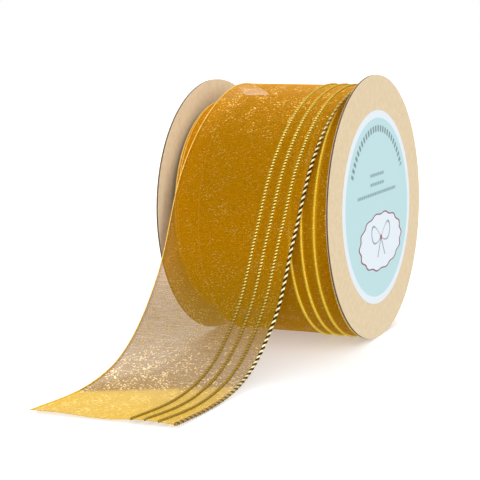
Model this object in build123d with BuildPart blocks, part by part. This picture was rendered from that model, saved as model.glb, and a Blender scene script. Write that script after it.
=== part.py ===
"""A round paper spool of sheer gold ribbon with a sagging last turn and a free tail.

Frame: +X runs along the spool's axis to the labelled flange, +Z is up, and the tail comes off over the
top, down the front (-Y) and onto the surface the spool stands on. The origin is on the axis, midway
between the flanges. Millimetres.
"""
from build123d import *

import os
from math import cos, radians, sin

# Spool
flange_radius = 49.0
spool_width = 66.8  # over the flanges' outer faces
board_thickness = 0.6
liner_thickness = 0.1
flange_thickness = board_thickness + 2 * liner_thickness
core_radius = 22.0
ply_thickness = 0.9
ply_names = ("core_outer_ply", "core_middle_ply", "core_inner_ply")
label_radius = 36.0
label_thickness = 0.1

# Ribbon
ribbon_width = 50.8
cloth_thickness = 0.5
braid_width = 0.8  # the heavy metallic braid along the right edge
selvage_width = 0.4  # the fine thread along the left edge
stripe_width = 0.6
thread_height = 0.3  # braid and stripes stand this far out of the cloth
stripe_places = {"inner": 0.70, "middle": 0.79, "outer": 0.885}  # share of the width, from the left edge

# Tight roll: bands of turns from the core outwards, as (outer radius, left edge)
bands = [(27.0, -26.0), (31.5, -21.5), (35.5, -27.5), (38.0, -20.2), (40.2, -32.1), (41.4, -30.0)]
roll_radius = bands[-1][0]

# Start tape, under the first turn
tape_length = 20.0
tape_width = 12.0
tape_thickness = 0.1

# Sagging turn and tail: (degrees from the top towards the front, radius)
turn_points = [
    (15, 42.5),
    (60, 42.9),
    (90, 44.3),
    (120, 46.5),
    (150, 47.8),
    (180, 48.1),
    (225, 47.8),
    (270, 47.3),
    (315, 47.1),
    (360, 46.3),
]
shoulder_points = [(360.5, 46.3), (375, 45.2), (390, 44.4), (415, 44.3), (432, 45.8), (447, 47.8)]
fall_reach = 56.0  # how far the tail sweeps out on its way down to the floor
fall_start = (-50.9, -7.5)  # y and z where that sweep begins
fall_lean = 15.0  # degrees out of upright there
fall_steps = 5
tail_reach = 126.0  # from the axis to the cut end

# The ribbon's left edge lies in a leaning plane: x at the axis, and its change with y and z
turn_side = (-19.7, 0.0, -0.023)
tail_side = (-23.3, 0.103, 0.052)


def around_axis(degrees, radius):
    """The point at an angle from the top, turning towards the front."""
    return (-radius * sin(radians(degrees)), radius * cos(radians(degrees)))


def fall_points():
    """The tail from the roll's front down to the floor, where it lies flat as far as its cut end."""
    floor = -flange_radius + cloth_thickness / 2
    start_y, start_z = fall_start
    lean = radians(fall_lean)
    drop = (start_z - floor) / (1 - sin(lean))
    points = []
    for step in range(fall_steps + 1):
        heading = lean + (radians(90) - lean) * step / fall_steps
        out = fall_reach * (cos(lean) - cos(heading))
        down = drop * (sin(heading) - sin(lean))
        points.append((start_y - out, start_z - down))
    landing = points[-1][0]
    points.append(((landing - tail_reach) / 2, floor))
    points.append((-tail_reach, floor))
    return points


turn_path = [around_axis(*point) for point in turn_points]
tail_path = [around_axis(*point) for point in shoulder_points] + fall_points()


def outline(points, inside, outside):
    """A strip's long section: it follows the points, from inside to outside of them in height."""
    samples = 6 * len(points)
    with BuildSketch(Plane.YZ) as sketch:
        with BuildLine():
            path = Spline(*points, mode=Mode.PRIVATE)
            sides = []
            for height in (inside, outside):
                shifted = []
                for step in range(samples + 1):
                    place = path @ (step / samples)
                    along = path % (step / samples)
                    shifted.append((place.X + along.Y * height, place.Y - along.X * height))
                sides.append(Spline(*shifted))
            Line(sides[0] @ 0, sides[1] @ 0)
            Line(sides[0] @ 1, sides[1] @ 1)
        make_face()
    return sketch.sketch


def side_plane(side, across):
    """The leaning plane a given distance to the right of the ribbon's left edge, facing right."""
    middle, with_y, with_z = side
    return Plane(origin=(middle + across, 0, 0), z_dir=(1, -with_y, -with_z))


def strip(section, side, start, end):
    """A part of the ribbon's width, from start to end, measured from its left edge."""
    with BuildPart() as part:
        extrude(section, amount=spool_width, both=True)
        split(bisect_by=side_plane(side, start), keep=Keep.TOP)
        split(bisect_by=side_plane(side, end), keep=Keep.BOTTOM)
    return part.part


os.makedirs("parts", exist_ok=True)


def save(part, label):
    """Labels a finished piece and writes it to its own file."""
    part.label = label
    export_step(part, f"parts/{label}.step")


# Core: three paper plies, one inside the other, through both flanges
for number, label in enumerate(ply_names):
    with BuildPart() as ply:
        with BuildSketch(Plane.YZ.offset(-spool_width / 2)):
            Circle(core_radius - number * ply_thickness)
            Circle(core_radius - (number + 1) * ply_thickness, mode=Mode.SUBTRACT)
        extrude(amount=spool_width)
    save(ply.part, label)

# Flanges: a grey board between two kraft liners
layers = [
    ("outer_liner", 0.0, liner_thickness),
    ("board", liner_thickness, board_thickness),
    ("inner_liner", liner_thickness + board_thickness, liner_thickness),
]
for hand, inward in (("left", 1), ("right", -1)):
    for layer, depth, thickness in layers:
        face = -inward * (spool_width / 2 - depth)
        with BuildPart() as disc:
            with BuildSketch(Plane.YZ.offset(face)):
                Circle(flange_radius)
                Circle(core_radius, mode=Mode.SUBTRACT)
            extrude(amount=inward * thickness)
        save(disc.part, f"{hand}_flange_{layer}")

# Label, over the right end of the core
with BuildPart() as flange_label:
    with BuildSketch(Plane.YZ.offset(spool_width / 2)):
        Circle(label_radius)
    extrude(amount=label_thickness)
save(flange_label.part, "flange_label")

# Start tape: a curved patch on top of the core
with BuildPart() as start_tape:
    with BuildSketch(Plane.YZ.offset(-tape_length / 2)):
        Circle(core_radius + tape_thickness)
        Circle(core_radius, mode=Mode.SUBTRACT)
        with Locations((0, core_radius)):
            Rectangle(tape_width, core_radius, mode=Mode.INTERSECT)
    extrude(amount=tape_length)
save(start_tape.part, "start_tape")

# Tight roll: bands of turns that wander from side to side
with BuildPart() as wound_ribbon:
    band_start = core_radius
    for band_end, left_edge in bands:
        with BuildSketch(Plane.YZ.offset(left_edge)):
            Circle(band_end)
            Circle(band_start, mode=Mode.SUBTRACT)
        extrude(amount=ribbon_width)
        band_start = band_end
    add(start_tape.part, mode=Mode.SUBTRACT)
save(wound_ribbon.part, "wound_ribbon")

# Edge braid of each band, beside its last turn
with BuildPart() as wound_edge_braid:
    for band_end, left_edge in bands:
        with BuildSketch(Plane.YZ.offset(left_edge + ribbon_width)):
            Circle(band_end)
            Circle(band_end - braid_width, mode=Mode.SUBTRACT)
        extrude(amount=braid_width)
save(wound_edge_braid.part, "wound_edge_braid")

# Stripe threads on the roll's last turn
with BuildPart() as wound_stripe_threads:
    for share in stripe_places.values():
        with BuildSketch(Plane.YZ.offset(bands[-1][1] + share * ribbon_width)):
            Circle(roll_radius + thread_height)
            Circle(roll_radius, mode=Mode.SUBTRACT)
        extrude(amount=stripe_width)
save(wound_stripe_threads.part, "wound_stripe_threads")

# Sagging turn and tail: cloth, selvage, edge braid and stripes, each along the whole path
half = cloth_thickness / 2
cloth_end = ribbon_width - braid_width
for stretch, path, side in (("turn", turn_path, turn_side), ("tail", tail_path, tail_side)):
    cloth = outline(path, -half, half)
    raised = outline(path, -half, half + thread_height)
    on_top = outline(path, half, half + thread_height)
    save(strip(cloth, side, selvage_width, cloth_end), f"{stretch}_cloth")
    save(strip(cloth, side, 0, selvage_width), f"{stretch}_selvage")
    save(strip(raised, side, cloth_end, ribbon_width), f"{stretch}_edge_braid")
    for place, share in stripe_places.items():
        start = share * ribbon_width
        save(strip(on_top, side, start, start + stripe_width), f"{stretch}_{place}_stripe")
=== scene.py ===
"""A round paper spool of sheer gold ribbon, with a sagging last turn and a free tail. Metres."""

from math import cos, pi, radians, sin

import bpy
import numpy as np
from mathutils import Matrix, Vector


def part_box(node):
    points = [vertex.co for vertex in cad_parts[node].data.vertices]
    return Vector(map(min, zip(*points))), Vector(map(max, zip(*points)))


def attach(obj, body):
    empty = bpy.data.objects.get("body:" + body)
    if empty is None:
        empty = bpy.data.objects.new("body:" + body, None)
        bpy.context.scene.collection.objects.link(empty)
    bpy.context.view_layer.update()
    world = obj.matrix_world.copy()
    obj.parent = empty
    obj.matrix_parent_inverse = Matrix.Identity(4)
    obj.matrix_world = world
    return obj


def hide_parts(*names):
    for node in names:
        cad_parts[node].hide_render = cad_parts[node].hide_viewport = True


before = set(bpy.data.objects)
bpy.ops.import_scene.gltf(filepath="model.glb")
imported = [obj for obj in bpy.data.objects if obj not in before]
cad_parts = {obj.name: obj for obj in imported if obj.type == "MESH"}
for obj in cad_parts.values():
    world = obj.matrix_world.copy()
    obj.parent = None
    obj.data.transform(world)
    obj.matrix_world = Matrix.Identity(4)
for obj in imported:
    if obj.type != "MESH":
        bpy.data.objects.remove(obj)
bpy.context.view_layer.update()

# ---------------------------------------------------------------- sizes

flange_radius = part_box("right_flange_board")[1].z
core_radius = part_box("core_outer_ply")[1].z
roll_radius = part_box("wound_ribbon")[1].z
floor_height = -flange_radius

ribbon_width = 0.0508
# Shares of the width, from the left edge
stripe_places = {"inner": 0.70, "middle": 0.79, "outer": 0.885}

# The free ribbon, in shares of the flange radius. Round the roll: degrees from the top towards the
# front, radius at the left edge, radius at the right edge, x of the left edge.
round_the_roll = [
    (-170, 0.859, 0.859, -0.610),
    (-162, 0.861, 0.861, -0.607),
    (-150, 0.863, 0.863, -0.600),
    (-120, 0.865, 0.865, -0.573),
    (-90, 0.865, 0.865, -0.530),
    (-45, 0.865, 0.865, -0.455),
    (0, 0.865, 0.865, -0.400),
    (45, 0.867, 0.867, -0.380),
    (75, 0.885, 0.885, -0.380),
    (100, 0.925, 0.925, -0.380),
    (125, 0.958, 0.958, -0.380),
    (150, 0.978, 0.978, -0.380),
    (180, 0.981, 0.981, -0.380),
    (225, 0.976, 0.976, -0.380),
    (270, 0.968, 0.968, -0.382),
    (315, 0.963, 0.960, -0.392),
    (345, 0.962, 0.935, -0.415),
    (363, 0.955, 0.912, -0.435),
    (378, 0.927, 0.903, -0.456),
    (395, 0.899, 0.899, -0.484),
    (415, 0.897, 0.903, -0.516),
    (432, 0.928, 0.934, -0.543),
    (447, 0.972, 0.985, -0.570),
]
# Down to the floor: y and z at the left edge, y and z at the right edge, x of the left edge.
down_to_floor = [
    (-1.045, -0.170, -1.062, -0.130, -0.592),
    (-1.185, -0.450, -1.200, -0.465, -0.623),
    (-1.385, -0.710, -1.355, -0.700, -0.656),
    (-1.620, -0.884, -1.550, -0.866, -0.680),
    (-1.930, -0.968, -1.840, -0.966, -0.695),
    (-2.200, -0.989, -2.130, -0.988, -0.708),
    (-2.585, -0.974, -2.530, -0.976, -0.733),
]
path_samples = 520
across_samples = 25
cloth_wall = 0.00012
thread_pitch = 0.00034  # between the cloth's own threads
flat_from = -0.0918  # y where the tail comes to lie flat, at x = 0
flat_slant = 0.344  # how that line's y changes with x

# The cut end's slight waves
wave_height = 0.0005
wave_reach = 0.07  # they grow over this last stretch

# Twisted threads. pitch: one twist. lay_radius: from the thread's middle to a strand's. step: along it.
stripe_sizes = {
    "pitch": 0.00116,
    "strand_radius": 0.00030,
    "lay_radius": 0.00025,
    "step": 0.00018,
    "sides": 5,
}
braid_sizes = {
    "pitch": 0.0023,
    "strand_radius": 0.00034,
    "lay_radius": 0.00030,
    "step": 0.00028,
    "sides": 7,
}
selvage_sizes = {
    "pitch": 0.0012,
    "strand_radius": 0.00015,
    "lay_radius": 0.00010,
    "step": 0.0004,
    "sides": 5,
}
thread_height = 0.00015  # of the free stripes and braid, above the cloth's middle
braid_inset = 0.00045  # of the braid's middle, from the right edge

# The tight roll
wound_turns = 44.0
inner_radius = core_radius + 0.0003
last_angle = radians(-170)
roll_middle = -0.0268  # x of the left edge, before it sways
sway_start = 2.6  # turns below the last one, where both sways are at their furthest left
slow_sway = 0.0027
slow_beat = 0.33  # radians a turn
quick_sway = 0.0011
quick_beat = 0.62
grid_across = 12
grid_per_turn = 72
points_per_turn = 120
# Turns that carry threads, counted from the outside, and how far the threads sink into the roll
striped_turns = 1.3
braided_turns = 5.0
selvage_turns = 6.0
stripe_sink = 0.0002
braid_sink = 0.0003
selvage_sink = 0.0001

# ---------------------------------------------------------------- camera

camera_place = Vector((3.735, -8.353, 1.220)) * flange_radius
camera_turn = radians(26.92)  # left of straight ahead
camera_dip = radians(9.19)
camera_roll = radians(-2.31)

camera = bpy.data.objects.new("camera", bpy.data.cameras.new("camera"))
bpy.context.scene.collection.objects.link(camera)
camera.data.sensor_width = 36.0
camera.data.lens = 87.9
camera.data.clip_start = 0.01
camera.matrix_world = (
    Matrix.Translation(camera_place)
    @ Matrix.Rotation(camera_turn, 4, "Z")
    @ Matrix.Rotation(pi / 2 - camera_dip, 4, "X")
    @ Matrix.Rotation(camera_roll, 4, "Z")
)
bpy.context.scene.camera = camera

# ---------------------------------------------------------------- node building


class Value:
    """A node's output that takes part in sums."""

    def __init__(self, nodes, socket):
        self.nodes = nodes
        self.socket = socket

    def math(self, operation, first, second=0.0):
        return self.nodes.add("ShaderNodeMath", {"operation": operation}, {0: first, 1: second})

    def __add__(self, other):
        return self.math("ADD", self, other)

    def __radd__(self, other):
        return self.math("ADD", other, self)

    def __sub__(self, other):
        return self.math("SUBTRACT", self, other)

    def __rsub__(self, other):
        return self.math("SUBTRACT", other, self)

    def __mul__(self, other):
        return self.math("MULTIPLY", self, other)

    def __rmul__(self, other):
        return self.math("MULTIPLY", other, self)

    def __truediv__(self, other):
        return self.math("DIVIDE", self, other)

    def __abs__(self):
        return self.math("ABSOLUTE", self)

    def sine(self):
        return self.math("SINE", self)

    def cosine(self):
        return self.math("COSINE", self)

    def fraction(self):
        return self.math("FRACT", self)

    def reach(self, other):
        """How far this and another value, at right angles, go together."""
        return self.math("SQRT", self * self + other * other)

    def angle(self, other):
        """The angle whose sine goes with this value and whose cosine with the other."""
        return self.math("ARCTAN2", self, other)

    def step(self, low, high):
        """0 below low, 1 above high, smooth between them."""
        ends = {"Value": self, "From Min": low, "From Max": high}
        return self.nodes.add("ShaderNodeMapRange", {"interpolation_type": "SMOOTHSTEP"}, ends)


class Nodes:
    """Adds nodes to a tree."""

    def __init__(self, tree):
        self.tree = tree

    def add(self, kind, settings=None, inputs=None, output=0):
        """Makes a node: its settings first, then the values or links of its sockets."""
        node = self.tree.nodes.new(kind)
        for key, value in (settings or {}).items():
            setattr(node, key, value)
        for key, value in (inputs or {}).items():
            if isinstance(value, Value):
                self.tree.links.new(value.socket, node.inputs[key])
            else:
                node.inputs[key].default_value = value
        return Value(self, node.outputs[output]) if node.outputs else None

    def vector(self, x=0.0, y=0.0, z=0.0):
        return self.add("ShaderNodeCombineXYZ", None, {0: x, 1: y, 2: z})

    def vectors(self, operation, first, second=(0.0, 0.0, 0.0), output=0):
        """Two vectors worked together."""
        return self.add("ShaderNodeVectorMath", {"operation": operation}, {0: first, 1: second}, output)

    def scaled(self, vector, amount):
        """A vector times a value."""
        inputs = {0: vector, "Scale": amount}
        return self.add("ShaderNodeVectorMath", {"operation": "SCALE"}, inputs)

    def parts(self, vector):
        """A vector's x, y and z."""
        first = self.add("ShaderNodeSeparateXYZ", None, {0: vector})
        return [Value(self, socket) for socket in first.socket.node.outputs]


class Material(Nodes):
    """A material with one Principled shader."""

    def __init__(self, name):
        self.material = bpy.data.materials.new(name)
        self.material.use_nodes = True
        super().__init__(self.material.node_tree)
        self.tree.nodes.clear()

    def place(self):
        """Where a point is on the object: x, y and z, and the three as one vector."""
        spot = self.add("ShaderNodeTexCoord", output=3)
        return (*self.parts(spot), spot)

    def on_cloth(self):
        """Metres across the ribbon from its left edge, and along it."""
        return self.parts(self.add("ShaderNodeUVMap", {"uv_map": "weave"}))[:2]

    def mix(self, share, first, second):
        """From the first colour to the second."""
        return self.add("ShaderNodeMix", {"data_type": "RGBA"}, {0: share, 6: first, 7: second}, 2)

    def noise(self, place, scale, detail=2.0, roughness=0.5):
        inputs = {"Vector": place, "Scale": scale, "Detail": detail, "Roughness": roughness}
        return self.add("ShaderNodeTexNoise", None, inputs)

    def stretched(self, place, x, y, z):
        """A place scaled along each axis."""
        return self.add("ShaderNodeMapping", None, {"Vector": place, "Scale": (x, y, z)})

    def bump(self, height, strength, distance):
        inputs = {"Height": height, "Strength": strength, "Distance": distance}
        return self.add("ShaderNodeBump", None, inputs)

    def principled(self, **inputs):
        sockets = {name.replace("_", " "): value for name, value in inputs.items()}
        return self.add("ShaderNodeBsdfPrincipled", None, sockets)

    def finish(self, **inputs):
        """Ends the material in a Principled shader with these sockets."""
        self.add("ShaderNodeOutputMaterial", None, {"Surface": self.principled(**inputs)})
        return self.material

    def finish_sheer(self, cover, through, glow, **inputs):
        """Ends it as threads with open holes between them, that pass on some light, coloured through."""
        passed = self.add("ShaderNodeBsdfTranslucent", None, {"Color": through})
        shaders = {0: glow, 1: self.principled(**inputs), 2: passed}
        threads = self.add("ShaderNodeMixShader", None, shaders)
        holes = self.add("ShaderNodeBsdfTransparent", None, {"Color": colour(1, 1, 1)})
        surface = self.add("ShaderNodeMixShader", None, {0: cover, 1: holes, 2: threads})
        self.add("ShaderNodeOutputMaterial", None, {"Surface": surface})
        return self.material


def colour(red, green, blue):
    return (red, green, blue, 1.0)


# ---------------------------------------------------------------- materials


def organza(name, sheer, deep, pale):
    """Fine plain weave of shimmering gold thread, with painted glints. The sheer kind is see-through
    and pales on the tail, with painted shade where it hangs, painted highlight on its sparkle lower
    down and painted light where it lies flat on the floor.
    """
    m = Material(name)
    across, along = m.on_cloth()

    warp = (across * (2 * pi / thread_pitch)).sine()
    weft = (along * (2 * pi / thread_pitch)).sine()
    pick = m.noise(m.vector(across * 110, along * 3000), 1.0, 2.0, 0.6)
    streak = m.noise(m.vector(across * 1500, along * 14), 1.0, 2.0, 0.6)
    cloud = m.noise(m.vector(across * 70, along * 50), 1.0, 2.0)
    ribs = m.noise(m.vector(across * 500, along * 2300), 1.0, 2.0, 0.6)
    ends = m.noise(m.vector(across * 2300, along * 700), 1.0, 2.0, 0.6)
    grain = (ribs + ends) * 0.5

    # Glint cells: random flakes that are metallic and smoother, also given a painted glint in their colour.
    cells = m.vector(across * 1900, along * 3600)
    flash = m.add("ShaderNodeTexVoronoi", {"feature": "F1"}, {"Vector": cells, "Scale": 1.0}, 1)
    chance, tilt, _ = m.parts(flash)
    patch = m.noise(m.vector(across * 190, along * 150), 1.0, 2.0)
    # The stretch where the tail hangs: painted shade darkens its colour there; it also thickens the cover
    # and adds glints.
    hanging_shade = along.step(*hanging_shade_stretch) if sheer else 0.0
    glint = (chance + patch * 0.5 + hanging_shade * 0.05).step(1.15, 1.27)

    satin = 0.0
    for share in stripe_places.values():
        side = abs(across - share * ribbon_width)
        satin = 1 - side.step(0.0005, 0.0013) + satin
    if sheer:
        satin = satin * (1 - along.step(*satin_stretch) * 0.75)

    tone = m.mix(grain.step(0.36, 0.64), deep, pale)
    tone = m.mix(pick.step(0.35, 0.65) * 0.25, tone, deep)
    tone = m.mix(streak.step(0.5, 0.75) * 0.15, tone, pale)
    tone = m.mix(cloud.step(0.35, 0.65) * 0.15, tone, deep)
    tone = m.mix(satin * (0.3 if sheer else 0.7), tone, colour(0.95, 0.58, 0.01))
    # Painted glint: the glint cells' colour is painted pale gold, standing in for sparkle.
    tone = m.mix(glint * 0.3, tone, colour(1.0, 0.84, 0.30))

    ridges = warp * 0.4 + weft * 0.4 + tilt * 1.0
    inputs = {
        "Base_Color": tone,
        "Metallic": 0.25 + glint * 0.75 + satin * 0.4,
        "Roughness": 0.55 - glint * 0.25 - satin * 0.15,
        "Normal": m.bump(ridges, 0.35, 0.00010),
        "Specular_IOR_Level": 0.0,
    }
    if not sheer:
        return m.finish(**inputs)
    x, y, _, _ = m.place()
    low = along.step(*low_stretch)
    # Painted shade: where the tail hangs, its colour is painted dark brown, all but the glints.
    tone = m.mix(hanging_shade * 0.6 - hanging_shade * glint * 0.5, tone, colour(0.22, 0.145, 0.005))
    # Painted highlight: on the lower tail, where the cover also thins, the glints are painted near white.
    tone = m.mix(low * glint * 0.6, tone, colour(1.0, 0.92, 0.60))
    # Painted light: past a slanted line where the tail lies flat on the floor, its colour is painted
    # brighter and yellower, standing in for light from above and from the floor beneath.
    landing = y - x * flat_slant + (patch - 0.5) * 0.004
    flat = 1 - landing.step(flat_from - 0.0022, flat_from + 0.0022)
    floor_lit_tone = m.mix(grain.step(0.36, 0.64), colour(0.95, 0.58, 0.03), colour(1.0, 0.74, 0.07))
    tone = m.mix(flat * 0.6, tone, floor_lit_tone)
    inputs["Base_Color"] = tone
    facing = m.add("ShaderNodeLayerWeight", None, {"Blend": 0.5}, 1)
    edge_on = facing * facing
    doubled = 1 - along.step(*doubled_stretch)
    cover = 0.49 + (pick - 0.5) * 0.35 + satin * 0.2 + glint * 0.2 + (grain - 0.5) * 0.25
    cover = cover + edge_on * edge_on * 0.75 + hanging_shade * 0.07 + doubled * 0.16 - low * 0.14
    return m.finish_sheer(cover, colour(0.60, 0.30, 0.01), 0.08, **inputs)


def twisted_metal(name, bright, dull, bright_from, shade_from):
    """Metallic thread plied from a bright strand and a dull one.

    The strands' contrast is partly their own colour and partly painted highlight and painted shade.
    Before bright_from along it both strands are painted softer and more alike, and darker over the
    roll's top: painted shade. Further along, on the tail, they are painted brown: painted shade too.
    """
    m = Material(name)
    strand = m.add("ShaderNodeAttribute", {"attribute_name": "strand"}, output=2)
    run = m.add("ShaderNodeAttribute", {"attribute_name": "run"}, output=2)
    spot = m.place()[3]
    wear = m.noise(spot, 900.0, 3.0, 0.6)
    shine = m.mix(wear.step(0.35, 0.7) * 0.15, bright, dull)
    # The strands' contrast is partly their own colour and partly painted highlight and painted shade.
    tone = m.mix(strand, shine, dull)
    # Painted shade: further along, on the tail, the threads are painted brown.
    tail_shade = run.step(shade_from, shade_from + 0.035)
    tone = m.mix(tail_shade * 0.75, tone, colour(0.21, 0.11, 0.006))
    # Before bright_from the strands are painted alike: gold, and darker over the roll's top as painted
    # shade.
    soft_part = 1 - run.step(bright_from, bright_from + 0.03)
    over_top = run.step(turn_length - 0.03, turn_length)
    soft = m.mix(over_top, colour(1.0, 0.70, 0.05), colour(0.46, 0.29, 0.01))
    tone = m.mix(soft_part * 0.7, tone, soft)
    grain = m.noise(spot, 5200.0, 2.0)
    return m.finish(
        Base_Color=tone,
        Metallic=0.40 - strand * 0.2,
        Roughness=0.24 + strand * 0.2 + wear.step(0.4, 0.8) * 0.1,
        Normal=m.bump(grain, 0.4, 0.00005),
        Specular_IOR_Level=0.05,
    )


def kraft(name, pale, dark):
    """Unbleached paper with fine fibres and a few darker flecks."""
    m = Material(name)
    spot = m.place()[3]
    pulp = m.noise(spot, 420.0, 6.0, 0.7)
    fibre = m.noise(m.stretched(spot, 1, 0.5, 1.2), 2800.0, 4.0, 0.7)
    fleck = m.noise(spot, 1500.0, 2.0, 0.5).step(0.66, 0.74)
    tone = m.mix(pulp.step(0.3, 0.7), dark, pale)
    tone = m.mix(fibre.step(0.4, 0.75) * 0.22, tone, dark)
    tone = m.mix(fleck * 0.35, tone, colour(0.36, 0.24, 0.13))
    return m.finish(
        Base_Color=tone,
        Roughness=0.86 - pulp.step(0.3, 0.8) * 0.1,
        Normal=m.bump(fibre * 0.6 + pulp * 0.4, 0.35, 0.00006),
        Specular_IOR_Level=0.25,
    )


def grey_board():
    """Recycled board: dark grey, felted in thin layers that show at the cut edge."""
    m = Material("recycled_board")
    spot = m.place()[3]
    layer = m.noise(m.stretched(spot, 26, 1, 1), 320.0, 3.0)
    fibre = m.noise(spot, 1800.0, 4.0, 0.7)
    tone = m.mix(layer.step(0.35, 0.7), colour(0.09, 0.062, 0.045), colour(0.17, 0.125, 0.09))
    tone = m.mix(fibre.step(0.6, 0.75) * 0.5, tone, colour(0.34, 0.31, 0.27))
    return m.finish(
        Base_Color=tone,
        Roughness=0.92 - fibre.step(0.3, 0.8) * 0.08,
        Normal=m.bump(layer + fibre, 0.5, 0.00008),
        Specular_IOR_Level=0.05,
    )


def core_paper(name, pale, dark):
    """A ply of the wound tube, with its spiral seam."""
    m = Material(name)
    x, y, z, spot = m.place()
    turn = z.angle(y) / (2 * pi)
    lap = (x / 0.052 + turn).fraction()
    seam = 1 - abs(lap - 0.5).step(0.006, 0.014)
    pulp = m.noise(spot, 340.0, 5.0, 0.65)
    fibre = m.noise(spot, 2100.0, 3.0, 0.7)
    tone = m.mix(pulp.step(0.3, 0.7), dark, pale)
    tone = m.mix(seam * 0.8, tone, colour(0.16, 0.11, 0.07))
    return m.finish(
        Base_Color=tone,
        Roughness=0.9 - fibre.step(0.3, 0.8) * 0.08,
        Normal=m.bump(fibre * 0.5 - seam, 0.5, 0.0001),
        Specular_IOR_Level=0.2,
    )


def printed_label():
    """White paper, plain underneath, with a mint disc, an arc of marks, rules and a bow on a badge."""
    m = Material("printed_label")
    x, y, z, spot = m.place()
    label_low, label_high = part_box("flange_label")
    lower = label_low.x * 0.7 + label_high.x * 0.3
    upper = label_low.x * 0.3 + label_high.x * 0.7
    face = x.step(lower, upper)
    right = y / flange_radius
    up = z / flange_radius
    out = right.reach(up)
    turn = up.angle(right)

    def line(distance, width):
        """1 within width of where the distance is nought, with a soft edge."""
        return 1 - abs(distance).step(width * 0.7, width * 1.3)

    paper = m.noise(spot, 1600.0, 4.0, 0.6)
    white = m.mix(paper, colour(0.68, 0.74, 0.80), colour(0.73, 0.79, 0.85))
    mint = m.mix(paper, colour(0.44, 0.64, 0.665), colour(0.48, 0.685, 0.71))
    tone = m.mix(1 - out.step(0.676, 0.682), white, mint)

    ink = colour(0.10, 0.14, 0.15)
    beat = (turn * 11.5).fraction()
    arc = line(out - 0.598, 0.024) * beat.step(0.10, 0.22) * (1 - beat.step(0.70, 0.82))
    arc = arc * (1 - abs(turn - pi / 2).step(1.08, 1.12))
    rules = line(up - 0.255, 0.012) * (1 - abs(right + 0.015).step(0.145, 0.155))
    rules = rules + line(up - 0.185, 0.012) * (1 - abs(right + 0.015).step(0.145, 0.155))
    rules = rules + line(up - 0.112, 0.012) * (1 - abs(right + 0.02).step(0.41, 0.42))
    dashes = 1 - abs((right * 26).fraction() - 0.5).step(0.38, 0.44)
    tone = m.mix(arc * 0.75, tone, ink)
    tone = m.mix(rules * dashes * 0.6, tone, ink)

    side = (right - 0.045) / 0.455
    height = (up + 0.265) / 0.215
    reach = side.reach(height)
    lobes = (height.angle(side) * 14).cosine()
    edge = reach - lobes * 0.03
    tone = m.mix(1 - edge.step(0.985, 1.0), tone, white)
    tone = m.mix(line(edge - 1.0, 0.022), tone, colour(0.22, 0.04, 0.06))
    bow_side = abs(right - 0.045)
    bow_up = up + 0.235
    loop_side = (bow_side - 0.105) / 0.095
    loop_height = (bow_up - bow_side * 0.25) / (0.025 + bow_side * 0.32)
    loop = loop_side.reach(loop_height)
    tone = m.mix(line(loop - 1.0, 0.09) * 0.7, tone, ink)
    tail_line = line(bow_side + bow_up * 0.55, 0.009) * (bow_up + 0.15).step(0.0, 0.01)
    tail_line = tail_line * (1 - bow_up.step(-0.01, 0.0))
    tone = m.mix(tail_line * 0.7, tone, ink)
    knot = bow_side.reach(bow_up)
    tone = m.mix(1 - knot.step(0.016, 0.024), tone, colour(0.30, 0.05, 0.08))
    tone = m.mix(face, white, tone)
    return m.finish(
        Base_Color=tone,
        Roughness=0.55 + paper * 0.15,
        Normal=m.bump(paper, 0.2, 0.00004),
        Specular_IOR_Level=0.35,
    )


def clear_tape():
    """Matt adhesive film with faint streaks."""
    m = Material("adhesive_film")
    spot = m.place()[3]
    streak = m.noise(m.stretched(spot, 1, 12, 1), 500.0, 2.0)
    tone = m.mix(streak, colour(0.66, 0.62, 0.50), colour(0.78, 0.75, 0.64))
    return m.finish(Base_Color=tone, Roughness=0.35 + streak * 0.2, Normal=m.bump(streak, 0.2, 0.00003))


def spun_thread():
    """Fine selvage yarn, spun tight, paler on its raised twists."""
    m = Material("selvage_yarn")
    spot = m.place()[3]
    twist = m.noise(spot, 2600.0, 2.0)
    tone = m.mix(twist.step(0.35, 0.65), colour(0.80, 0.42, 0.02), colour(1.0, 0.74, 0.20))
    return m.finish(
        Base_Color=tone,
        Metallic=twist.step(0.5, 0.8) * 0.3,
        Roughness=0.5 - twist.step(0.5, 0.8) * 0.15,
        Normal=m.bump(twist, 0.5, 0.00006),
    )


# ---------------------------------------------------------------- lines


def smooth_path(rows, samples):
    """Even samples of the smoothest curve through rows of numbers (a natural cubic spline)."""
    rows = np.array(rows, float)
    gaps = np.linalg.norm(np.diff(rows, axis=0), axis=1)
    knots = np.concatenate([[0.0], np.cumsum(gaps)])
    last = len(rows) - 1
    system = np.eye(last + 1)
    target = np.zeros_like(rows)
    for i in range(1, last):
        before, after = gaps[i - 1], gaps[i]
        system[i, i - 1 : i + 2] = before, 2 * (before + after), after
        target[i] = 6 * ((rows[i + 1] - rows[i]) / after - (rows[i] - rows[i - 1]) / before)
    bend = np.linalg.solve(system, target)
    where = np.linspace(0.0, knots[-1], samples)
    i = np.clip(np.searchsorted(knots, where, side="right") - 1, 0, last - 1)
    gap = gaps[i][:, None]
    a = (knots[i + 1] - where)[:, None] / gap
    b = 1 - a
    curve = (a**3 - a) * bend[i] + (b**3 - b) * bend[i + 1]
    return a * rows[i] + b * rows[i + 1] + curve * gap**2 / 6


def directions(points):
    """The unit direction of a line at each of its points."""
    slopes = np.gradient(points, axis=0)
    return slopes / np.linalg.norm(slopes, axis=1)[:, None]


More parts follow.
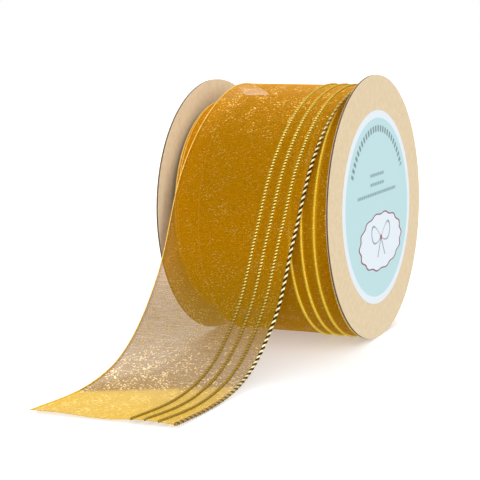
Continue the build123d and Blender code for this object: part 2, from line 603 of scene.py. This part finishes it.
def ribbon_edges():
    """The free ribbon's left and right edges, in metres, point for point."""
    rows = []
    for degrees, left, right, x in round_the_roll:
        y, z = -sin(radians(degrees)), cos(radians(degrees))
        rows.append((x, left * y, left * z, right * y, right * z))
    for left_y, left_z, right_y, right_z, x in down_to_floor:
        rows.append((x, left_y, left_z, right_y, right_z))
    path = smooth_path(np.array(rows) * flange_radius, path_samples)
    left = path[:, [0, 1, 2]]
    right = path[:, [0, 3, 4]] + np.array([ribbon_width, 0.0, 0.0])
    return left, right


left_edge, right_edge = ribbon_edges()
middle_line = (left_edge + right_edge) / 2
steps_along = np.linalg.norm(np.diff(middle_line, axis=0), axis=1)
length_along = np.concatenate([[0.0], np.cumsum(steps_along)])
free_length = float(length_along[-1])
second_lap = length_along > free_length / 2
# The length at the top of the second lap, where the tail starts
turn_length = float(length_along[np.argmax(middle_line[:, 2] * second_lap)])

# Where the cloth's look changes, as lengths along the ribbon
doubled_stretch = (turn_length - 0.03, turn_length - 0.01)
satin_stretch = (turn_length + 0.06, turn_length + 0.10)
# Where the tail hangs: painted shade
hanging_shade_stretch = (turn_length + 0.078, turn_length + 0.112)
low_stretch = (turn_length + 0.105, turn_length + 0.14)


def ribbon_points(share, height=0.0):
    """A line along the free ribbon, at a share of its width and a height outwards from the sheet."""
    line = left_edge + (right_edge - left_edge) * share
    outward = np.cross(directions(line), right_edge - left_edge)
    outward /= np.linalg.norm(outward, axis=1)[:, None]
    lift = wave_height * np.clip((length_along - free_length + wave_reach) / wave_reach, 0.0, 1.0) ** 2
    wave = lift * np.sin(share * 9.0 + 0.6) * np.sin((free_length - length_along) * 120.0 + share * 2.0)
    return line + outward * (height + wave)[:, None]


def roll_sway(turns_down):
    """x of the wound ribbon's left edge, a number of turns below the last one."""
    slow = slow_sway * cos(slow_beat * (turns_down - sway_start))
    quick = quick_sway * cos(quick_beat * (turns_down - sway_start))
    return roll_middle - slow - quick


# ---------------------------------------------------------------- plain meshes


def new_object(name, vertices, edges=(), faces=()):
    mesh = bpy.data.meshes.new(name)
    mesh.from_pydata([tuple(v) for v in vertices], list(edges), list(faces))
    made = bpy.data.objects.new(name, mesh)
    bpy.context.scene.collection.objects.link(made)
    return made


def line_object(*chains):
    """Chains of edges, each through its own points, for a node tree to work on."""
    points, edges = [], []
    for chain in chains:
        edges += [(len(points) + i, len(points) + i + 1) for i in range(len(chain) - 1)]
        points += list(chain)
    return new_object("line", points, edges)


def cloth_object(name, rows, width, lengths, thickness, material):
    """A sheet through rows of points, each row one line along it, as thick as the cloth."""
    across, along = len(rows), len(rows[0])
    faces = []
    for i in range(across - 1):
        for j in range(along - 1):
            corner = i * along + j
            faces.append((corner, corner + along, corner + along + 1, corner + 1))
    made = new_object(name, np.concatenate(rows), faces=faces)
    weave = made.data.uv_layers.new(name="weave")
    for loop in made.data.loops:
        i, j = divmod(loop.vertex_index, along)
        weave.data[loop.index].uv = (width * i / (across - 1), lengths[j])
    made.data.shade_smooth()
    made.data.materials.append(material)
    wall = made.modifiers.new("thickness", "SOLIDIFY")
    wall.thickness = thickness
    wall.offset = 0.0
    return made


# ---------------------------------------------------------------- geometry node trees


class Tree(Nodes):
    """A geometry node tree with named inputs."""

    kinds = {float: "NodeSocketFloat", int: "NodeSocketInt", bpy.types.Material: "NodeSocketMaterial"}

    def __init__(self, name, **inputs):
        super().__init__(bpy.data.node_groups.new(name, "GeometryNodeTree"))
        sockets = self.tree.interface
        sockets.new_socket("Geometry", in_out="INPUT", socket_type="NodeSocketGeometry")
        sockets.new_socket("Geometry", in_out="OUTPUT", socket_type="NodeSocketGeometry")
        self.keys = {}
        for label, kind in inputs.items():
            socket = sockets.new_socket(label, in_out="INPUT", socket_type=self.kinds[kind])
            self.keys[label] = socket.identifier
        self.source = self.add("NodeGroupInput").socket.node
        self.line = self.given("Geometry")

    def given(self, label):
        return Value(self, self.source.outputs[label])

    def end(self, geometry):
        """Realises everything, gives it its material and ends the tree."""
        whole = self.add("GeometryNodeRealizeInstances", None, {0: geometry})
        inputs = {"Geometry": whole, "Material": self.given("material")}
        done = self.add("GeometryNodeSetMaterial", None, inputs)
        self.add("NodeGroupOutput", None, {0: done})

    def join(self, parts):
        node = self.tree.nodes.new("GeometryNodeJoinGeometry")
        for part in parts:
            self.tree.links.new(part.socket, node.inputs[0])
        return Value(self, node.outputs[0])

    def grow(self, name, base, **values):
        """Runs the tree on a base object and returns the result as a plain mesh object."""
        modifier = base.modifiers.new("tree", "NODES")
        modifier.node_group = self.tree
        for label, value in values.items():
            modifier[self.keys[label]] = value
        seen = base.evaluated_get(bpy.context.evaluated_depsgraph_get())
        mesh = bpy.data.meshes.new_from_object(seen)
        mesh.name = name
        mesh.materials.clear()
        mesh.materials.append(values["material"])
        made = bpy.data.objects.new(name, mesh)
        bpy.context.scene.collection.objects.link(made)
        base.modifiers.remove(modifier)
        bpy.data.objects.remove(base)
        return made


def twisted_thread_tree():
    """Two strands plied round each other along a chain of edges."""
    numbers = {"pitch": float, "strand_radius": float, "lay_radius": float, "step": float, "sides": int}
    tree = Tree("twisted_thread", **numbers, material=bpy.types.Material)
    path = tree.add("GeometryNodeMeshToCurve", None, {"Mesh": tree.line})
    inputs = {"Curve": path, "Length": tree.given("step")}
    path = tree.add("GeometryNodeResampleCurve", {"mode": "LENGTH"}, inputs)
    inputs = {"Radius": tree.given("strand_radius"), "Resolution": tree.given("sides")}
    ring = tree.add("GeometryNodeCurvePrimitiveCircle", {"mode": "RADIUS"}, inputs)
    tangent = tree.add("GeometryNodeInputTangent")
    side = tree.vectors("CROSS_PRODUCT", tangent, (1.0, 0.0, 0.0))
    side = tree.vectors("NORMALIZE", side)
    other = tree.vectors("CROSS_PRODUCT", side, tangent)
    gone = tree.add("GeometryNodeSplineParameter", output=1)
    settings = {"data_type": "FLOAT", "domain": "POINT"}
    inputs = {"Geometry": path, "Name": "run", "Value": gone}
    path = tree.add("GeometryNodeStoreNamedAttribute", settings, inputs)
    strands = []
    for number in (0, 1):
        turn = gone / tree.given("pitch") * (2 * pi) + number * pi
        spread = tree.given("lay_radius")
        first = tree.scaled(side, turn.sine() * spread)
        second = tree.scaled(other, turn.cosine() * spread)
        inputs = {"Geometry": path, "Offset": tree.vectors("ADD", first, second)}
        moved = tree.add("GeometryNodeSetPosition", None, inputs)
        inputs = {"Curve": moved, "Profile Curve": ring, "Fill Caps": True}
        strand = tree.add("GeometryNodeCurveToMesh", None, inputs)
        inputs = {"Geometry": strand, "Name": "strand", "Value": float(number)}
        strands.append(tree.add("GeometryNodeStoreNamedAttribute", settings, inputs))
    tree.end(tree.join(strands))
    return tree


def wound_sheet_tree():
    """A strip wound into a roll, its turns swaying from side to side."""
    numbers = {"width": float, "inner_radius": float, "outer_radius": float, "turns": float}
    numbers |= {"last_angle": float, "middle": float, "slow_sway": float, "quick_sway": float}
    numbers |= {"ripple": float, "seed": float, "steps_across": int, "steps_along": int}
    tree = Tree("wound_sheet", **numbers, material=bpy.types.Material)
    given = tree.given
    inputs = {"Size X": 1.0, "Size Y": 1.0}
    inputs |= {"Vertices X": given("steps_across"), "Vertices Y": given("steps_along")}
    grid = tree.add("GeometryNodeMeshGrid", None, inputs)
    x, y, _ = tree.parts(tree.add("GeometryNodeInputPosition"))
    across = x + 0.5
    along = y + 0.5
    down = (1 - along) * given("turns")
    angle = given("last_angle") - down * (2 * pi)
    spot = tree.vector(across * 3.0, angle.sine() * 1.6, angle.cosine() * 1.6 + down * 0.37)
    inputs = {"Vector": spot, "W": given("seed"), "Scale": 1.0, "Detail": 2.0}
    bumps = tree.add("ShaderNodeTexNoise", {"noise_dimensions": "4D"}, inputs) - 0.5
    grown = given("inner_radius") + (given("outer_radius") - given("inner_radius")) * along
    radius = grown + bumps * given("ripple")
    left = given("middle") - given("slow_sway") * ((down - sway_start) * slow_beat).cosine()
    left = left - given("quick_sway") * ((down - sway_start) * quick_beat).cosine()
    front = radius * angle.sine() * -1.0
    place = tree.vector(left + across * given("width"), front, radius * angle.cosine())
    mean = (given("inner_radius") + grown) * 0.5
    weave = tree.vector(across * given("width"), along * given("turns") * (2 * pi) * mean)
    settings = {"data_type": "FLOAT2", "domain": "CORNER"}
    inputs = {"Geometry": grid, "Name": "weave", "Value": weave}
    stored = tree.add("GeometryNodeStoreNamedAttribute", settings, inputs)
    rolled = tree.add("GeometryNodeSetPosition", None, {"Geometry": stored, "Position": place})
    smooth = tree.add("GeometryNodeSetShadeSmooth", None, {"Geometry": rolled})
    tree.end(smooth)
    return tree


def fringe_tree():
    """Short stray fibres standing out of a cut edge."""
    numbers = {"count": int, "length": float, "seed": int}
    tree = Tree("cut_fringe", **numbers, material=bpy.types.Material)
    given = tree.given
    path = tree.add("GeometryNodeMeshToCurve", None, {"Mesh": tree.line})
    inputs = {"Curve": path, "Count": given("count")}
    points = tree.add("GeometryNodeCurveToPoints", {"mode": "COUNT"}, inputs)
    bent = tree.add(
        "GeometryNodeCurveQuadraticBezier",
        None,
        {"Resolution": 4, "Start": (0, 0, 0), "Middle": (0, 0, 0.6), "End": (0.25, 0, 1)},
    )
    inputs = {"Resolution": 3, "Radius": 0.05}
    ring = tree.add("GeometryNodeCurvePrimitiveCircle", {"mode": "RADIUS"}, inputs)
    inputs = {"Curve": bent, "Profile Curve": ring, "Fill Caps": True}
    fibre = tree.add("GeometryNodeCurveToMesh", None, inputs)
    settings = {"data_type": "FLOAT_VECTOR"}
    inputs = {"Min": (1.25, -0.45, -3.0), "Max": (1.75, 0.45, 3.0), "Seed": given("seed")}
    tilt = tree.add("FunctionNodeRandomValue", settings, inputs)
    settings = {"data_type": "FLOAT"}
    inputs = {2: 0.35, 3: 1.0, "Seed": given("seed") + 7}
    size = tree.add("FunctionNodeRandomValue", settings, inputs, 1) * given("length")
    inputs = {"Points": points, "Instance": fibre, "Rotation": tilt, "Scale": tree.vector(size, size, size)}
    tufts = tree.add("GeometryNodeInstanceOnPoints", None, inputs)
    tree.end(tufts)
    return tree


# ---------------------------------------------------------------- finishes

sheer_gold = organza("sheer_gold", True, colour(0.50, 0.22, 0.001), colour(0.66, 0.305, 0.002))
wound_gold = organza("wound_gold", False, colour(0.50, 0.19, 0.001), colour(0.70, 0.285, 0.001))
stripe_metal = twisted_metal(
    "stripe_metal",
    bright=colour(1.0, 0.90, 0.22),
    dull=colour(0.20, 0.07, 0.002),
    bright_from=turn_length + 0.016,
    shade_from=turn_length + 0.085,
)
braid_metal = twisted_metal(
    "braid_metal",
    bright=colour(1.0, 0.88, 0.50),
    dull=colour(0.035, 0.02, 0.004),
    bright_from=turn_length + 0.024,
    shade_from=turn_length + 0.12,
)
selvage_yarn = spun_thread()
kraft_liner = kraft("kraft_liner", colour(0.72, 0.58, 0.39), colour(0.65, 0.515, 0.335))
board = grey_board()
outer_paper = core_paper("core_outer_paper", colour(0.56, 0.42, 0.28), colour(0.46, 0.34, 0.22))
middle_paper = core_paper("core_middle_paper", colour(0.42, 0.37, 0.31), colour(0.33, 0.29, 0.24))
inner_paper = core_paper("core_inner_paper", colour(0.52, 0.40, 0.28), colour(0.43, 0.32, 0.21))

for node, finish in {
    "core_outer_ply": outer_paper,
    "core_middle_ply": middle_paper,
    "core_inner_ply": inner_paper,
    "left_flange_outer_liner": kraft_liner,
    "left_flange_inner_liner": kraft_liner,
    "right_flange_outer_liner": kraft_liner,
    "right_flange_inner_liner": kraft_liner,
    "left_flange_board": board,
    "right_flange_board": board,
    "flange_label": printed_label(),
    "start_tape": clear_tape(),
}.items():
    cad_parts[node].data.materials.clear()
    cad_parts[node].data.materials.append(finish)

# ---------------------------------------------------------------- the free ribbon

rows = [ribbon_points(i / (across_samples - 1)) for i in range(across_samples)]
free_ribbon = cloth_object("free_ribbon", rows, ribbon_width, length_along, cloth_wall, sheer_gold)

thread = twisted_thread_tree()
free_threads = []
for place, share in stripe_places.items():
    line = line_object(ribbon_points(share, thread_height))
    made = thread.grow(f"free_{place}_stripe", line, **stripe_sizes, material=stripe_metal)
    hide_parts(f"turn_{place}_stripe", f"tail_{place}_stripe")
    free_threads.append(made)

free_edge_braid = thread.grow(
    "free_edge_braid",
    line_object(ribbon_points(1 - braid_inset / ribbon_width, thread_height)),
    **braid_sizes,
    material=braid_metal,
)
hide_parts("turn_edge_braid", "tail_edge_braid")
free_threads.append(free_edge_braid)

free_selvage = thread.grow(
    "free_selvage", line_object(ribbon_points(0.0)), **selvage_sizes, material=selvage_yarn
)
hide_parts("turn_selvage", "tail_selvage")
free_threads.append(free_selvage)

cut_line = [row[-1] for row in rows]
cut_fringe = fringe_tree().grow(
    "cut_fringe",
    line_object(cut_line),
    count=150,
    length=0.0009,
    seed=4,
    material=selvage_yarn,
)
free_threads.append(cut_fringe)

for piece in [free_ribbon, *free_threads]:
    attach(piece, "loose_ribbon")
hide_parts("turn_cloth", "tail_cloth")

# ---------------------------------------------------------------- the tight roll

wound_roll = wound_sheet_tree().grow(
    "wound_turns",
    line_object([(0, 0, 0), (0, 0, 0.001)]),
    width=ribbon_width,
    inner_radius=inner_radius,
    outer_radius=roll_radius,
    turns=wound_turns,
    last_angle=last_angle,
    middle=roll_middle,
    slow_sway=slow_sway,
    quick_sway=quick_sway,
    ripple=0.00012,
    seed=3.0,
    steps_across=grid_across,
    steps_along=int(wound_turns * grid_per_turn),
    material=wound_gold,
)


def roll_points(share, first, last, height=0.0):
    """A line along the wound ribbon from one turn to another, counted down from the last."""
    points = []
    count = int((first - last) * points_per_turn)
    for i in range(count + 1):
        down = first + (last - first) * i / count
        angle = last_angle - down * 2 * pi
        radius = roll_radius - (roll_radius - inner_radius) * down / wound_turns + height
        x = roll_sway(down) + share * ribbon_width
        points.append((x, -radius * sin(angle), radius * cos(angle)))
    return points


stripe_lines = [
    roll_points(share, striped_turns, 0.0, -stripe_sink) for share in stripe_places.values()
]
wound_stripes = thread.grow(
    "wound_stripes",
    line_object(*stripe_lines),
    **(stripe_sizes | {"sides": 4}),
    material=stripe_metal,
)
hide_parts("wound_stripe_threads")

wound_braids = thread.grow(
    "wound_braids",
    line_object(roll_points(1 - braid_inset / ribbon_width, braided_turns, 0.0, -braid_sink)),
    **(braid_sizes | {"step": 0.00035, "sides": 6}),
    material=braid_metal,
)
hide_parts("wound_edge_braid")

wound_selvage = thread.grow(
    "wound_selvage",
    line_object(roll_points(0.0, selvage_turns, 0.0, -selvage_sink)),
    **selvage_sizes,
    material=selvage_yarn,
)

roll_threads = [wound_stripes, wound_braids, wound_selvage]
for piece in [wound_roll, *roll_threads]:
    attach(piece, "spool")
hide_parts("wound_ribbon")

# ---------------------------------------------------------------- floor and light

floor_reach = 30
floor_corners = [
    (-floor_reach, -floor_reach, floor_height),
    (floor_reach, -floor_reach, floor_height),
    (floor_reach, floor_reach, floor_height),
    (-floor_reach, floor_reach, floor_height),
]
floor = new_object("floor", floor_corners, faces=[(0, 1, 2, 3)])
paper = Material("white_sweep")
shade = paper.noise(paper.place()[3], 3.0)
floor.data.materials.append(
    paper.finish(
        Base_Color=paper.mix(shade, colour(0.88, 0.88, 0.88), colour(0.90, 0.90, 0.90)),
        Roughness=0.9 - shade * 0.05,
        Specular_IOR_Level=0.0,
        Emission_Color=colour(1, 1, 1),
        Emission_Strength=0.30,
    )
)
floor.visible_diffuse = False
floor.visible_glossy = False


def sun(name, towards, angle, strength):
    """Parallel light that comes from a direction, softened over an angle."""
    light = bpy.data.lights.new(name, "SUN")
    light.energy = strength
    light.angle = radians(angle)
    lamp = bpy.data.objects.new(name, light)
    bpy.context.scene.collection.objects.link(lamp)
    lamp.rotation_mode = "QUATERNION"
    lamp.rotation_quaternion = Vector(towards).to_track_quat("Z", "Y")


sun("side_light", (0.85, -0.4, 0.28), 60, 1.5)
sun("front_light", (0.3, -0.95, 0.05), 20, 1.4)
sun("back_light", (-0.4, 0.5, 0.75), 40, 1.5)

world = bpy.data.worlds.new("studio")
world.use_nodes = True
studio = Nodes(world.node_tree)
studio.tree.nodes.clear()
up = studio.parts(studio.add("ShaderNodeTexCoord"))[2]
strength = 0.58 + up.step(-0.12, 0.0) * 0.42 - up.step(0.10, 0.30) * 0.20
light = studio.add("ShaderNodeBackground", None, {"Color": colour(1, 1, 1), "Strength": strength})
studio.add("ShaderNodeOutputWorld", None, {"Surface": light})
bpy.context.scene.world = world
bpy.context.scene.view_settings.view_transform = "Standard"
